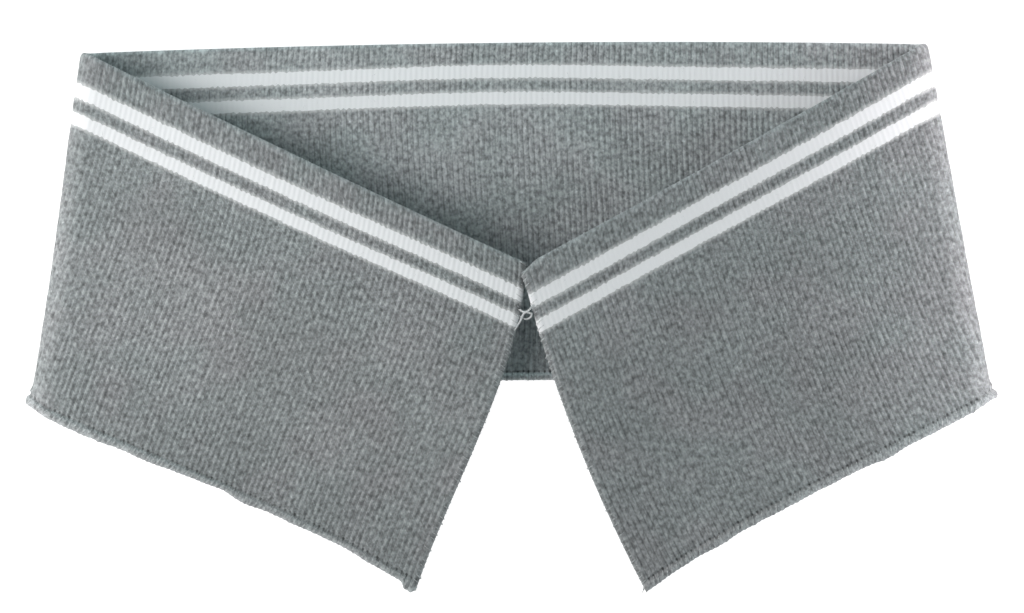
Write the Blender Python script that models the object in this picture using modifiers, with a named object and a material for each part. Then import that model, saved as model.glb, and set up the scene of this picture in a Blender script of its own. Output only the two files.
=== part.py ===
"""Knit polo collar, laid down as it comes off the knitting machine.

The collar is one straight strip of rib knit with two stripes near its top edge. It lies on its middle
stretch, the back panel. Both ends turn over the back in soft rolls along tilted fold lines, so that
their top corners meet at the centre front and their lower tips come to rest on the surface in front of
the back panel.

Metres, +Z up, +X to the right seen from above, +Y towards the top edge of the back panel. The origin
is on the underside of the back panel.
"""

import math
from collections import namedtuple

import bpy
from mathutils import Vector

# The knitted strip
COLLAR_LENGTH = 0.424
COLLAR_HEIGHT = 0.080
KNIT_THICKNESS = 0.002
CAST_OFF_THICKNESS = 0.0026
CAST_OFF_ROUNDING = 0.0005

# Heights of the bands, from the top edge down. The main panel takes what is left of the strip.
TOP_BAND_HEIGHT = 0.0058
UPPER_STRIPE_HEIGHT = 0.0030
MIDDLE_BAND_HEIGHT = 0.0033
LOWER_STRIPE_HEIGHT = 0.0029
CAST_OFF_HEIGHT = 0.0026
BAND_GAP = 0.0003

# How the strip is laid. The radius is that of the middle of the knit, round each fold.
ROLL_RADIUS = 0.0045
TACK_RISE = 0.007
TACK_GAP = 0.0004
BACK_TOP_BOW = 0.0016
BACK_BOTTOM_BOW = 0.0046
FRONT_TOP_SAG = 0.0005
DROOP_START = 0.3

# The stripes sit lower on the fronts, where the top band is stretched, and higher in the back's middle.
STRETCH_FADE = 0.012
BACK_EASE = 0.0007
EASE_NARROWNESS = 10

# One row for each side. The fold starts at fold_x of the collar's length and fold_y of its height, runs
# down and outwards at fold_tilt, is fold_run of the height long and bows inwards by fold_bow of it. From
# its top the front panel's top edge falls at front_slope over front_run of the length. The end edge leans
# outwards at end_tilt and bulges towards the centre by end_bulge of the height, nearer its top for a
# larger end_skew. The bottom edge arches up by bottom_bow of the height, and hangs by bottom_droop of it
# beside the fold. lies_over is 1 where the tacked corner lies on the other's. The top band is stretched
# by front_stretch of its height on the front, and by end_stretch at the end.
Side = namedtuple(
    "Side",
    "outward fold_x fold_y fold_tilt fold_run fold_bow front_slope front_run end_tilt end_run"
    " end_bulge end_skew bottom_bow bottom_droop lies_over front_stretch end_stretch",
)
LEFT = Side(
    -1, -0.2345, 0.463, 8.4, 1.037, 0.008, 25.5, 0.2696, 18.6, 1.012, 0.042, 2, 0.024, 0.018, 0, 0.32, 0.16
)
RIGHT = Side(
    1, 0.2281, 0.490, 10.6, 1.055, 0.003, 29.1, 0.2540, 21.1, 1.018, 0.033, 1, 0.021, 0.011, 1, 0.20, 0.26
)

# Soft swells of the front panels. The place is a share of the way from the fold to the end and from the
# top edge to the bottom, the radius a share of the collar's height, the rise a share of the thickness.
Swell = namedtuple("Swell", "side across down radius rise")
SWELLS = (
    Swell(LEFT, 0.22, 0.62, 0.30, -0.22),
    Swell(LEFT, 0.48, 0.42, 0.26, 0.18),
    Swell(LEFT, 0.66, 0.80, 0.28, 0.20),
    Swell(RIGHT, 0.24, 0.50, 0.28, 0.20),
    Swell(RIGHT, 0.52, 0.74, 0.30, -0.20),
    Swell(RIGHT, 0.74, 0.38, 0.24, 0.16),
)
# The share of the height over which the swells die out above the bottom edge
SWELL_FADE = 0.25

# Steps of the mesh along the strip: on a front panel, round a roll and on half of the back
FRONT_STEPS = 12
ROLL_STEPS = 12
BACK_STEPS = 6
ROW_HEIGHT = 0.0065

GREY = (0.21, 0.235, 0.24)
WHITE = (0.80, 0.82, 0.84)

Band = namedtuple("Band", "name height thickness colour")
BANDS = (
    Band("top_band", TOP_BAND_HEIGHT, KNIT_THICKNESS, GREY),
    Band("upper_stripe", UPPER_STRIPE_HEIGHT, KNIT_THICKNESS, WHITE),
    Band("middle_band", MIDDLE_BAND_HEIGHT, KNIT_THICKNESS, GREY),
    Band("lower_stripe", LOWER_STRIPE_HEIGHT, KNIT_THICKNESS, WHITE),
    Band("main_panel", None, KNIT_THICKNESS, GREY),
    Band("cast_off_edge", CAST_OFF_HEIGHT, CAST_OFF_THICKNESS, GREY),
)

QUARTER_ROLL = ROLL_RADIUS * math.pi / 2


def smooth(share):
    """A ramp from 0 to 1 that starts and ends level."""
    share = min(max(share, 0.0), 1.0)
    return share * share * (3 - 2 * share)


def skewed_arch(share, skew):
    """An arch of height 1 over 0 to 1 that peaks at 1 / (1 + skew)."""
    return (1 + skew) ** (1 + skew) / skew**skew * share * (1 - share) ** skew


def lean(side, degrees):
    """The direction that runs down the collar and leans outwards on that side."""
    angle = math.radians(degrees)
    return Vector((side.outward * math.sin(angle), -math.cos(angle)))


def front_slope(side):
    """The direction of the front panel's top edge, from the fold to the end."""
    angle = math.radians(side.front_slope)
    return Vector((-side.outward * math.cos(angle), -math.sin(angle)))


def fold_point(side, down):
    top = Vector((side.fold_x * COLLAR_LENGTH, side.fold_y * COLLAR_HEIGHT))
    place = top + lean(side, side.fold_tilt) * side.fold_run * COLLAR_HEIGHT * down
    place.x -= side.outward * side.fold_bow * COLLAR_HEIGHT * skewed_arch(1 - down, 2)
    return place


def end_point(side, down):
    top = fold_point(side, 0) + front_slope(side) * side.front_run * COLLAR_LENGTH
    place = top + lean(side, side.end_tilt) * side.end_run * COLLAR_HEIGHT * down
    place.x -= side.outward * side.end_bulge * COLLAR_HEIGHT * skewed_arch(down, side.end_skew)
    return place


def other(side):
    return RIGHT if side is LEFT else LEFT


def back_run(down):
    """The distance between the two folds."""
    return (fold_point(RIGHT, down) - fold_point(LEFT, down)).length


def front_run(side, down):
    """The distance from the fold to the end of the front panel."""
    return (end_point(side, down) - fold_point(side, down)).length


def back_bow(share, down):
    """How far the back panel's courses arch upwards between the folds."""
    middle = BACK_TOP_BOW + (BACK_BOTTOM_BOW - BACK_TOP_BOW) * down
    return skewed_arch(share, 1) * middle


def front_rise(side, across, down):
    """How far a front panel stands over its fold: up to the tack, and down to the resting tip."""
    tack = TACK_RISE + side.lies_over * (KNIT_THICKNESS + TACK_GAP)
    droop = smooth((down - DROOP_START) / (1 - DROOP_START))
    rise = (across + smooth(across)) / 2 * (tack * (1 - droop) - 2 * ROLL_RADIUS * droop)
    for swell in SWELLS:
        if swell.side is not side:
            continue
        sideways = (across - swell.across) * front_run(side, down) / COLLAR_HEIGHT
        far = math.hypot(sideways, down - swell.down) / swell.radius
        rise += swell.rise * KNIT_THICKNESS * smooth(1 - far) * smooth((1 - down) / SWELL_FADE)
    return rise


def front_arch(side, across, down):
    """How far a front panel's courses arch upwards between the fold and the end, less their droop."""
    top = -FRONT_TOP_SAG * skewed_arch(across, 1)
    bottom = side.bottom_bow * COLLAR_HEIGHT * skewed_arch(1 - across, 2)
    droop = side.bottom_droop * COLLAR_HEIGHT * (1 - across) ** 2 * down**2
    return top + (bottom - top) * down - droop


def stretched(side, along, down):
    """The share of the height at which a course lies, once the bands near the top edge are stretched."""
    top = (TOP_BAND_HEIGHT + UPPER_STRIPE_HEIGHT) / COLLAR_HEIGHT
    weight = down / top if down < top else (1 - down) / (1 - top)
    across = max(-along / front_run(side, down), 0)
    stretch = side.front_stretch + (side.end_stretch - side.front_stretch) * smooth(2 * across - 1)
    shift = TOP_BAND_HEIGHT * stretch * smooth((STRETCH_FADE - along) / STRETCH_FADE)
    if along > 0:
        shift -= BACK_EASE * skewed_arch(along / back_run(down), 1) ** EASE_NARROWNESS
    return down + weight * shift / COLLAR_HEIGHT


def cloth_point(side, along, down):
    """The middle of the knit, at a length of cloth from the fold: plus on the back, minus on the front."""
    down = stretched(side, along, down)
    turn = min(max(along / ROLL_RADIUS, -math.pi / 2), math.pi / 2)
    reach = ROLL_RADIUS * (1 - math.cos(turn)) + max(abs(along) - QUARTER_ROLL, 0)
    height = KNIT_THICKNESS / 2 + ROLL_RADIUS * (1 - math.sin(turn))
    fold = fold_point(side, down)
    to_back = (fold_point(other(side), down) - fold).normalized()
    to_front = (end_point(side, down) - fold).normalized()
    on_front = (1 - math.sin(turn)) / 2
    place = fold + to_back.lerp(to_front, on_front).normalized() * reach
    place.y += back_bow(reach / back_run(down), down) * (1 - on_front)
    across = max(reach - ROLL_RADIUS, 0) / (front_run(side, down) - ROLL_RADIUS)
    place.y += front_arch(side, across, down) * max(-math.sin(turn), 0)
    if along < -QUARTER_ROLL:
        height += front_rise(side, across, down)
    return Vector((place.x, place.y, height))


def stations():
    """The mesh's columns from left to right. -2 is an end, -1 to 1 a roll, 2 the back's middle."""
    half = [-2 + step / FRONT_STEPS for step in range(FRONT_STEPS)]
    half += [-1 + 2 * step / ROLL_STEPS for step in range(ROLL_STEPS)]
    half += [1 + step / BACK_STEPS for step in range(BACK_STEPS)]
    return [(LEFT, at) for at in half] + [(LEFT, 2.0)] + [(RIGHT, at) for at in reversed(half)]


def length_at(side, station, down):
    """The length of cloth from the fold to a station."""
    if station < -1:
        end = -(front_run(side, down) - ROLL_RADIUS + QUARTER_ROLL)
        return end + (-QUARTER_ROLL - end) * (station + 2)
    if station > 1:
        middle = back_run(down) / 2 - ROLL_RADIUS + QUARTER_ROLL
        return QUARTER_ROLL + (middle - QUARTER_ROLL) * (station - 1)
    return station * QUARTER_ROLL


def knit_material(name, colour):
    material = bpy.data.materials.new(name)
    material.use_nodes = True
    shader = material.node_tree.nodes["Principled BSDF"]
    shader.inputs["Base Color"].default_value = (*colour, 1)
    shader.inputs["Roughness"].default_value = 0.9
    shader.inputs["Metallic"].default_value = 0
    material.diffuse_color = (*colour, 1)
    return material


def add_band(band, top, bottom, collection):
    """One band of the strip as a flat grid, laid along the collar's path and thickened."""
    columns = stations()
    rows = max(1, round((bottom - top) / ROW_HEIGHT))
    bpy.ops.mesh.primitive_grid_add(
        x_subdivisions=len(columns) - 1, y_subdivisions=rows, size=2
    )
    piece = bpy.context.object
    piece.name = band.name
    piece.data.name = band.name
    for vertex in piece.data.vertices:
        side, station = columns[round((vertex.co.x + 1) / 2 * (len(columns) - 1))]
        down = (top + (bottom - top) * (1 - vertex.co.y) / 2) / COLLAR_HEIGHT
        vertex.co = cloth_point(side, length_at(side, station, down), down)
        vertex.co.z += (band.thickness - KNIT_THICKNESS) / 2
    piece.data.shade_smooth()
    solidify = piece.modifiers.new("thickness", "SOLIDIFY")
    solidify.thickness = band.thickness
    solidify.offset = 0
    solidify.use_even_offset = True
    if band.thickness > KNIT_THICKNESS:
        bevel = piece.modifiers.new("rounding", "BEVEL")
        bevel.width = CAST_OFF_ROUNDING
        bevel.segments = 2
        bevel.limit_method = "ANGLE"
        bevel.angle_limit = math.radians(60)
    piece.data.materials.append(knit_material(band.name, band.colour))
    for owner in piece.users_collection:
        owner.objects.unlink(piece)
    collection.objects.link(piece)


def main():
    for thing in list(bpy.data.objects):
        bpy.data.objects.remove(thing)
    collection = bpy.data.collections.new("knit_polo_collar")
    bpy.context.scene.collection.children.link(collection)
    main_height = COLLAR_HEIGHT - sum(band.height or 0 for band in BANDS)
    top = 0.0
    for band in BANDS:
        bottom = top + (band.height or main_height)
        first = top + (BAND_GAP / 2 if band is not BANDS[0] else 0)
        last = bottom - (BAND_GAP / 2 if band is not BANDS[-1] else 0)
        add_band(band, first, last, collection)
        top = bottom


main()
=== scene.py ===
"""The looks of a knit polo collar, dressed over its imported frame.

The collar is one strip of 1x1 rib with two white stripes near its top edge. It lies on its middle
stretch, the back panel, and both ends turn over the back in soft rolls, so that their top corners meet
at the centre front, where a few turns of white yarn tack them together.

Every rib is modelled as relief on both faces of the cloth, and so are the loops of the cast-off edge
and of the selvedges, the tacking yarn and the fluff. Single stitches and the flecks of the melange
yarn are shading, charted by a map whose unit is one rib across and one course down.

Metres, +Z up. Places in plan are complex numbers, x + iy.
"""

import logging
import math
from dataclasses import dataclass, replace
from enum import Enum

import bpy
import numpy as np
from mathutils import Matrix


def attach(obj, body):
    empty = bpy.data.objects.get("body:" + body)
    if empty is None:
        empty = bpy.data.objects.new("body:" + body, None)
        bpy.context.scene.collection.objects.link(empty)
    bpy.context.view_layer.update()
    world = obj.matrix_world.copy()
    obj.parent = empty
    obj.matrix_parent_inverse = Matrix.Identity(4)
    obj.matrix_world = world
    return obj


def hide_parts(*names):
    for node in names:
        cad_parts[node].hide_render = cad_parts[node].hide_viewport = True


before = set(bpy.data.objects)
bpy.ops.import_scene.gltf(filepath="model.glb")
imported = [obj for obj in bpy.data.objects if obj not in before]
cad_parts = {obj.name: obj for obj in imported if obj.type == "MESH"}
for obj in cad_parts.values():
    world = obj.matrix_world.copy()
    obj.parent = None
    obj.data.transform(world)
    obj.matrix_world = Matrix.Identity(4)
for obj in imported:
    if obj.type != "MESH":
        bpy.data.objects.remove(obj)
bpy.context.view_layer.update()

Array = np.ndarray
Colour = tuple[float, float, float]
Grain = tuple[float, float]
LOG = logging.getLogger("collar")
BODY = "root"
KNIT_MAP = "knit"
MM = 0.001

RIBS = 336
COURSE = 0.66 * MM
COLUMNS_PER_RIB = 4
BAND_HEIGHTS = {
    "top_band": 5.8 * MM,
    "upper_stripe": 3.0 * MM,
    "middle_band": 3.3 * MM,
    "lower_stripe": 2.9 * MM,
    "main_panel": 62.4 * MM,
    "cast_off_edge": 2.6 * MM,
}
SEAM_DOWNS = np.cumsum([0.0, *BAND_HEIGHTS.values()])
RIM_CHART = (0.5, 0.5)


def smooth(share: Array) -> Array:
    """A ramp from 0 to 1 that starts and ends level."""
    share = np.clip(share, 0.0, 1.0)
    return share * share * (3 - 2 * share)


def skewed_arch(share: Array, skew: float) -> Array:
    """An arch of height 1 over 0 to 1 that peaks at 1 / (1 + skew)."""
    return (1 + skew) ** (1 + skew) / skew**skew * share * (1 - share) ** skew


def unit(vectors: Array) -> Array:
    """Vectors scaled to a length of 1 along their last axis."""
    return vectors / np.maximum(np.linalg.norm(vectors, axis=-1, keepdims=True), 1e-12)


class Face(Enum):
    """One face of the cloth: the inner one lies against the neck, and faces up on the back panel."""

    INNER = (1, 0.0)
    OUTER = (-1, 0.5)

    @property
    def sign(self) -> int:
        """The way that this face looks along the cloth's normal."""
        return self.value[0]

    @property
    def phase(self) -> float:
        """How far this face's ribs are shifted, in ribs, since they stand where the other's sink."""
        return self.value[1]


@dataclass(frozen=True)
class Side:
    """How one side of the strip is laid. Sizes are shares of its length or height, angles degrees."""

    outward: int
    fold_x: float
    fold_y: float
    fold_tilt: float
    fold_run: float
    fold_bow: float
    front_slope: float
    front_run: float
    end_tilt: float
    end_run: float
    end_bulge: float
    end_skew: int
    bottom_bow: float
    bottom_droop: float
    lies_over: int
    front_stretch: float
    end_stretch: float

    def lean(self, degrees: float) -> complex:
        """The direction that runs down the collar and leans outwards."""
        angle = math.radians(degrees)
        return complex(self.outward * math.sin(angle), -math.cos(angle))

    def slope(self) -> complex:
        """The direction of the front's top edge, from the fold to the end."""
        angle = math.radians(self.front_slope)
        return complex(-self.outward * math.cos(angle), -math.sin(angle))


LEFT = Side(
    outward=-1,
    fold_x=-0.2345,
    fold_y=0.463,
    fold_tilt=8.4,
    fold_run=1.037,
    fold_bow=0.008,
    front_slope=25.5,
    front_run=0.2696,
    end_tilt=18.6,
    end_run=1.012,
    end_bulge=0.042,
    end_skew=2,
    bottom_bow=0.024,
    bottom_droop=0.018,
    lies_over=0,
    front_stretch=0.26,
    end_stretch=0.13,
)
RIGHT = Side(
    outward=1,
    fold_x=0.2281,
    fold_y=0.490,
    fold_tilt=10.6,
    fold_run=1.055,
    fold_bow=0.003,
    front_slope=29.1,
    front_run=0.2540,
    end_tilt=21.1,
    end_run=1.018,
    end_bulge=0.033,
    end_skew=1,
    bottom_bow=0.021,
    bottom_droop=0.011,
    lies_over=1,
    front_stretch=0.16,
    end_stretch=0.21,
)


@dataclass(frozen=True)
class Swell:
    """A soft swell of a front. Its place is a share of the front's width and of the height."""

    side: Side
    across: float
    down: float
    radius: float
    rise: float


@dataclass(frozen=True)
class LaidStrip:
    """The middle of the knit, laid as the solids are, at any rib and any share of the height."""

    length: float = 0.424
    height: float = 0.080
    thickness: float = 2.0 * MM
    roll_radius: float = 4.5 * MM
    tack_rise: float = 7.0 * MM
    tack_gap: float = 0.4 * MM
    back_top_bow: float = 1.4 * MM
    back_bottom_bow: float = 4.6 * MM
    front_top_sag: float = 0.5 * MM
    droop_start: float = 0.3
    stretched_band: float = 5.8 * MM
    stretch_peak: float = 7.1 * MM
    stretch_fade: float = 12.0 * MM
    back_stretch: float = 0.25 * MM
    back_ease: float = 0.7 * MM
    ease_peak: float = 5.8 * MM
    ease_tail: float = 1.1
    ease_narrowness: int = 10
    corner_drop: float = 1.3 * MM
    corner_start: float = 0.955
    corner_depth: float = 6.5 * MM
    swell_fade: float = 0.25
    fold_flare: float = 1.5 * MM
    flare_growth: float = 1.3
    flare_start: float = 0.948
    fold_waist: float = 0.12 * MM
    waist_start: float = 0.8
    swells: tuple[Swell, ...] = (
        Swell(LEFT, 0.22, 0.62, 0.30, -0.22),
        Swell(LEFT, 0.48, 0.42, 0.26, 0.18),
        Swell(LEFT, 0.66, 0.80, 0.28, 0.20),
        Swell(RIGHT, 0.24, 0.50, 0.28, 0.20),
        Swell(RIGHT, 0.52, 0.74, 0.30, -0.20),
        Swell(RIGHT, 0.74, 0.38, 0.24, 0.16),
    )

    @property
    def quarter(self) -> float:
        """The length of cloth in a quarter of a roll."""
        return self.roll_radius * math.pi / 2

    def fold(self, side: Side, down: Array) -> Array:
        """The fold line, in plan.

        Args:
            side: the side of the strip.
            down: shares of the height, from the top edge.

        Returns:
            One place for each share.
        """
        top = complex(side.fold_x * self.length, side.fold_y * self.height)
        bow = side.fold_bow * self.height * skewed_arch(1 - down, 2)
        return top + side.lean(side.fold_tilt) * side.fold_run * self.height * down - side.outward * bow

    def end(self, side: Side, down: Array) -> Array:
        """The end edge of a front, in plan.

        Args:
            side: the side of the strip.
            down: shares of the height, from the top edge.

        Returns:
            One place for each share.
        """
        top = self.fold(side, 0.0) + side.slope() * side.front_run * self.length
        place = top + side.lean(side.end_tilt) * side.end_run * self.height * down
        bulge = side.end_bulge * self.height * skewed_arch(down, side.end_skew)
        return place - side.outward * bulge

    def back_run(self, down: Array) -> Array:
        """The distance between the folds."""
        return np.abs(self.fold(RIGHT, down) - self.fold(LEFT, down))

    def front_run(self, side: Side, down: Array) -> Array:
        """The distance from a fold to the end of its front."""
        return np.abs(self.end(side, down) - self.fold(side, down))

    def front_rise(self, side: Side, across: Array, down: Array) -> Array:
        """How far a front stands over its fold: up to the tack, and down to the resting tip.

        Args:
            side: the side of the strip.
            across: shares of the front's width, from the fold.
            down: shares of the height, from the top edge.

        Returns:
            Metres, one for each place.
        """
        tack = self.tack_rise + side.lies_over * (self.thickness + self.tack_gap)
        droop = smooth((down - self.droop_start) / (1 - self.droop_start))
        fall = 2 * self.roll_radius * droop
        rise = (across + smooth(across)) / 2 * (tack * (1 - droop) - fall)
        for swell in self.swells:
            if swell.side is side:
                sideways = (across - swell.across) * self.front_run(side, down) / self.height
                near = smooth(1 - np.hypot(sideways, down - swell.down) / swell.radius)
                rise = rise + swell.rise * self.thickness * near * smooth((1 - down) / self.swell_fade)
        return rise

    def front_arch(self, side: Side, across: Array, down: Array) -> Array:
        """How far a front's courses arch upwards between the fold and the end.

        Args:
            side: the side of the strip.
            across: shares of the front's width, from the fold.
            down: shares of the height, from the top edge.

        Returns:
            Metres, one for each place.
        """
        top = -self.front_top_sag * skewed_arch(across, 1)
        in_corner = smooth((across - self.corner_start) / (1 - self.corner_start))
        in_corner = in_corner * smooth(1 - down * self.height / self.corner_depth)
        top = top - side.lies_over * self.corner_drop * in_corner
        bottom = side.bottom_bow * self.height * skewed_arch(1 - across, 2)
        droop = side.bottom_droop * self.height * (1 - across) ** 2 * down**2
        return top + (bottom - top) * down - droop

    def stretched(self, side: Side, along: Array, down: Array) -> Array:
        """The share of the height at which a course lies, once the top bands are stretched.

        Args:
            side: the side of the strip.
            along: metres of cloth from the fold, plus on the back and minus on the front.
            down: shares of the height, from the top edge.

        Returns:
            Shares of the height.
        """
        peak = self.stretch_peak / self.height
        weight = np.where(down < peak, down / peak, (1 - down) / (1 - peak))
        across = np.maximum(-along / self.front_run(side, down), 0)
        change = (side.end_stretch - side.front_stretch) * smooth(2 * across - 1)
        fade = smooth((self.stretch_fade - along) / self.stretch_fade)
        shift = self.stretched_band * (side.front_stretch + change) * fade + self.back_stretch * (1 - fade)
        arch = np.clip(skewed_arch(along / self.back_run(down), 1), 0, 1) ** self.ease_narrowness
        rising = down * self.height / self.ease_peak
        ease_weight = np.clip(np.minimum(rising, self.ease_tail * (1 - down)), 0, 1)
        ease = np.where(along > 0, self.back_ease * arch * ease_weight, 0)
        return down + (weight * shift - ease) / self.height

    def cloth(self, side: Side, along: Array, down: Array) -> Array:
        """Points at a length of cloth from a fold.

        Args:
            side: the side that the fold is on.
            along: metres of cloth from the fold, plus on the back and minus on the front.
            down: shares of the height, from the top edge.

        Returns:
            One point for each pair of along and down.
        """
        radius = self.roll_radius
        laid = self.stretched(side, along, down)
        turn = np.clip(along / radius, -math.pi / 2, math.pi / 2)
        fold = self.fold(side, laid)
        to_back = self.fold(RIGHT if side is LEFT else LEFT, laid) - fold
        to_front = self.end(side, laid) - fold
        back_run, front_run = np.abs(to_back), np.abs(to_front)
        back_ease = (back_run - 2 * radius) / (self.back_run(down) - 2 * radius)
        front_ease = (front_run - radius) / (self.front_run(side, down) - radius)
        straight = np.maximum(np.abs(along) - self.quarter, 0) * np.where(along > 0, back_ease, front_ease)
        past_waist = np.clip((down - self.flare_start) / (1 - self.flare_start), 0, 1)
        into_waist = smooth((down - self.waist_start) / (self.flare_start - self.waist_start))
        waist = self.fold_waist * into_waist * (1 - past_waist)
        flare = self.fold_flare * past_waist**self.flare_growth - waist
        reach = radius * (1 - np.cos(turn)) + straight
        on_front = (1 - np.sin(turn)) / 2
        heading = to_back / back_run * (1 - on_front) + to_front / front_run * on_front
        place = fold + heading / np.abs(heading) * (reach - flare * np.cos(turn) ** 2)
        bow = self.back_top_bow + (self.back_bottom_bow - self.back_top_bow) * laid
        lift = skewed_arch(reach / back_run, 1) * bow * (1 - on_front)
        height = self.thickness / 2 + radius * (1 - np.sin(turn))
        across = np.clip((reach - radius) / (front_run - radius), 0, 1)
        front = along < -self.quarter
        lift = lift + self.front_arch(side, across, laid) * np.clip(-np.sin(turn), 0, 1)
        height = height + np.where(front, self.front_rise(side, across, laid), 0)
        return np.stack([place.real, place.imag + lift, height], -1)

    def runs(self, down: Array) -> tuple[Array, Array, Array]:
        """The cloth on the left front, the back and the right front.

        Args:
            down: shares of the height, from the top edge.

        Returns:
            Metres of cloth along each, measured from the middle of a roll.
        """
        bend = self.quarter - self.roll_radius
        back = self.back_run(down) + 2 * bend
        return self.front_run(LEFT, down) + bend, back, self.front_run(RIGHT, down) + bend

    def fold_rib(self, side: Side) -> float:
        """The rib that the bottom end of a fold runs along.

        Args:
            side: the side of the strip.

        Returns:
            Its number, from the left end of the strip.
        """
        left, back, right = self.runs(1.0)
        before = left if side is LEFT else left + back
        return float(before / (left + back + right) * RIBS)

    def lay(self, rib: Array, down: Array) -> Array:
        """Points at places of the flat strip.

        Args:
            rib: rib numbers, from 0 at the left end to RIBS at the right one.
            down: shares of the height, from the top edge.

        Returns:
            One point for each pair of rib and down.
        """
        left, back, right = self.runs(down)
        place = rib / RIBS * (left + back + right)
        from_left = place - left
        from_right = left + back - place
        on_left = (from_left < back / 2)[..., None]
        return np.where(on_left, self.cloth(LEFT, from_left, down), self.cloth(RIGHT, from_right, down))

    def surface(self, rib: Array, down: Array) -> tuple[Array, Array]:
        """Points at places of the flat strip, with the cloth's normals there.

        Args:
            rib: rib numbers.
            down: shares of the height.

        Returns:
            The points, and the normals, which look up on the back panel.
        """
        rib_step, down_step = 0.05, 0.0005
        across = self.lay(rib + rib_step, down) - self.lay(rib - rib_step, down)
        upwards = self.lay(rib, down - down_step) - self.lay(rib, down + down_step)
        return self.lay(rib, down), unit(np.cross(across, upwards))

    def downwards(self, rib: Array, down: Array) -> Array:
        """The direction down the collar at places of the flat strip."""
        return unit(self.lay(rib, down) - self.lay(rib, down - 0.01))


@dataclass(frozen=True)
class Unevenness:
    """Smooth random unevenness over the strip, with a spread of 1, the same at every run."""

    seed: int
    ribs_apart: float = 1.0
    knots_down: int = 16

    def at(self, rib: Array, down: Array) -> Array:
        """Its value at places of the strip.

        Args:
            rib: rib numbers.
            down: shares of the height, from the top edge.

        Returns:
            One value for each place.
        """
        width = int(RIBS / self.ribs_apart) + 3
        knots = np.random.default_rng(self.seed).normal(size=(width, self.knots_down + 2))
        across = np.clip(rib / self.ribs_apart, 0, width - 2)
        along = np.clip(down, 0, 1) * self.knots_down
        i, j = across.astype(int), along.astype(int)
        x, y = smooth(across - i), smooth(along - j)
        upper = knots[i, j] * (1 - x) + knots[i + 1, j] * x
        lower = knots[i, j + 1] * (1 - x) + knots[i + 1, j + 1] * x
        return upper * (1 - y) + lower * y


@dataclass(frozen=True)
class RibRelief:
    """The ribs as relief: rounded ridges with narrow furrows, on both faces of the cloth."""

    height: float = 0.96 * MM
    inner_ridge: float = 0.31 * MM
    outer_ridge: float = 0.30 * MM
    fullness: float = 0.7
    level: float = 0.75
    end_rounding: float = 0.9
    spread: float = 0.09
    least: float = -2.0
    most: float = 0.6
    unevenness: Unevenness = Unevenness(11)

    def crest(self, face: Face, rib: Array) -> Array:
        """1 on the crests of a face's ribs and 0 in its furrows."""
        return np.abs(np.sin(math.pi * (rib + face.phase))) ** self.fullness

    def rounding(self, rib: Array) -> Array:
        """A share that falls to 0 at both ends of the strip, as a round edge does."""
        from_end = np.minimum(rib, RIBS - rib) / self.end_rounding
        return np.sqrt(1 - np.clip(1 - from_end, 0, 1) ** 2)

    def stand(self, face: Face, rib: Array, down: Array, ribbing: Array | float = 1.0) -> Array:
        """How far a face stands off the middle of the knit.

        Args:
            face: the face of the cloth.
            rib: rib numbers.
            down: shares of the height, from the top edge.
            ribbing: how strongly the ribs show, as a share.

        Returns:
            Metres, one for each place.
        """
        uneven = 1 + self.spread * np.clip(self.unevenness.at(rib, down), self.least, self.most)
        crest = self.level + (self.crest(face, rib) - self.level) * ribbing
        ridge = self.inner_ridge if face is Face.INNER else self.outer_ridge
        return self.height - ridge * (1 - crest * uneven)


STRIP = LaidStrip()
RELIEF = RibRelief()


def mesh_object(
    name: str, points: Array, faces: list[Array], charts: list[Array], material: bpy.types.Material
) -> bpy.types.Object:
    """A smooth-shaded object that rides on the collar's body.

    Args:
        name: the piece's name.
        points: one row for each vertex.
        faces: arrays of vertex numbers, one array for each number of corners.
        charts: the knit map's coordinates at each corner of those faces.
        material: what the piece is finished with.

    Returns:
        The new object, in the scene.
    """
    corners = np.concatenate([group.ravel() for group in faces])
    sizes = np.concatenate([np.full(len(group), group.shape[1]) for group in faces])
    mesh = bpy.data.meshes.new(name)
    mesh.vertices.add(len(points))
    mesh.vertices.foreach_set("co", points.astype(np.float32).ravel())
    mesh.loops.add(len(corners))
    mesh.loops.foreach_set("vertex_index", corners.astype(np.int32))
    mesh.polygons.add(len(sizes))
    mesh.polygons.foreach_set("loop_start", (np.cumsum(sizes) - sizes).astype(np.int32))
    chart = mesh.uv_layers.new(name=KNIT_MAP)
    flat = np.concatenate([group.reshape(-1) for group in charts])
    chart.data.foreach_set("uv", flat.astype(np.float32))
    mesh.update(calc_edges=True)
    mesh.validate()
    mesh.shade_smooth()
    mesh.materials.append(material)
    made = bpy.data.objects.new(name, mesh)
    bpy.context.scene.collection.objects.link(made)
    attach(made, BODY)
    return made


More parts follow.
